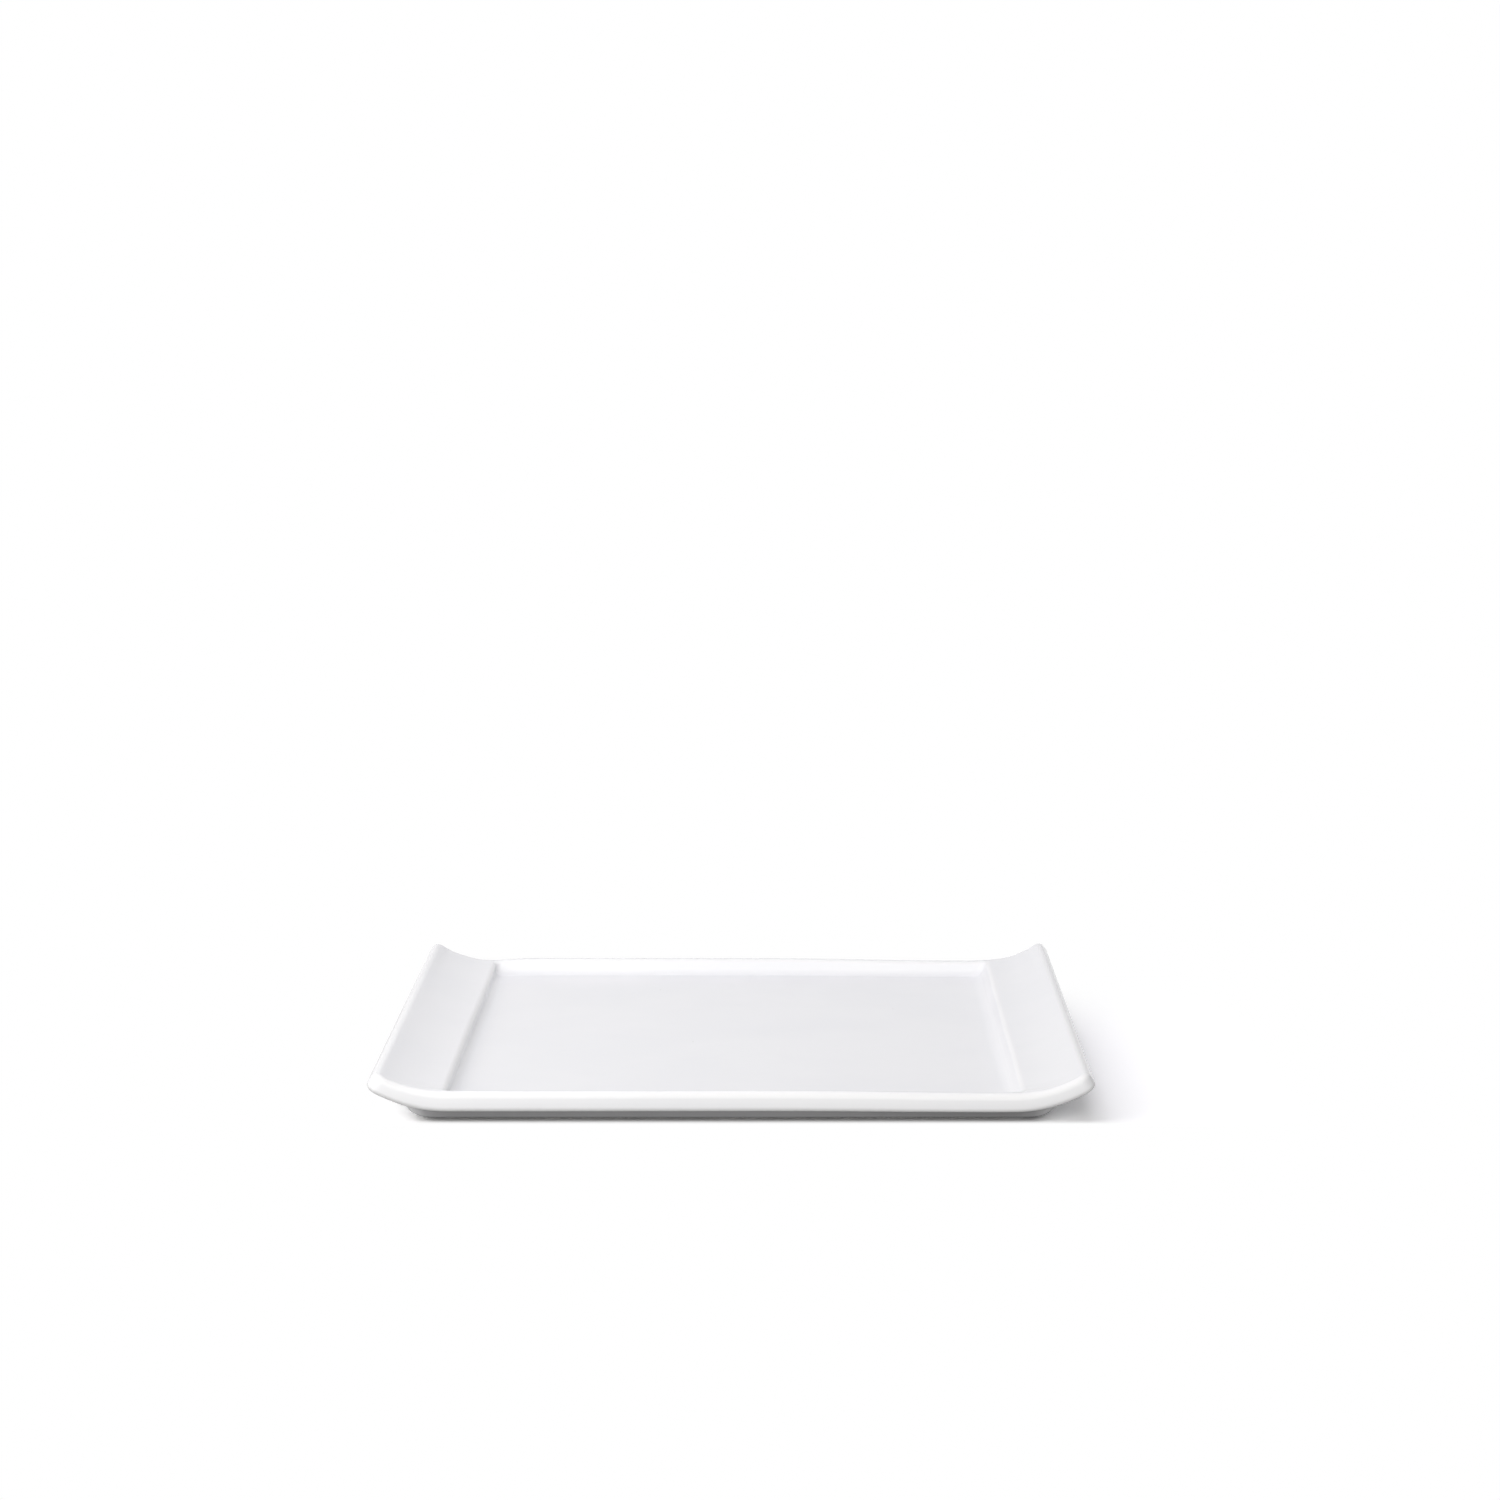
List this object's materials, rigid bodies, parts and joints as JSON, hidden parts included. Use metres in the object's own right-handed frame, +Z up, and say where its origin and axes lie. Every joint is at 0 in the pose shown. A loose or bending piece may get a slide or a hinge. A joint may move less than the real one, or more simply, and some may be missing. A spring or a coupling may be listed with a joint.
{
  "type": "square plate",
  "caption": "Square porcelain serving plate with a sunk flat well, upswept left and right ends, narrow front and back lips, and a bare foot ring; holds and serves food.",
  "frame": {"origin": "middle of the foot ring's resting plane, under the middle of the well", "axes": "+X towards the right-hand upswept end, +Y towards the back lip, +Z up out of the well"},
  "size_m": [0.22, 0.198, 0.0166],
  "materials": {
    "bare_porcelain": "fired and unglazed, fine matt, seen only on the foot ring",
    "white_glaze": "clear white gloss glaze"
  },
  "bodies": {
    "root": {"porcelain_body": "bare_porcelain", "face_glaze": "white_glaze", "base_glaze": "white_glaze"}
  },
  "joints": []
}
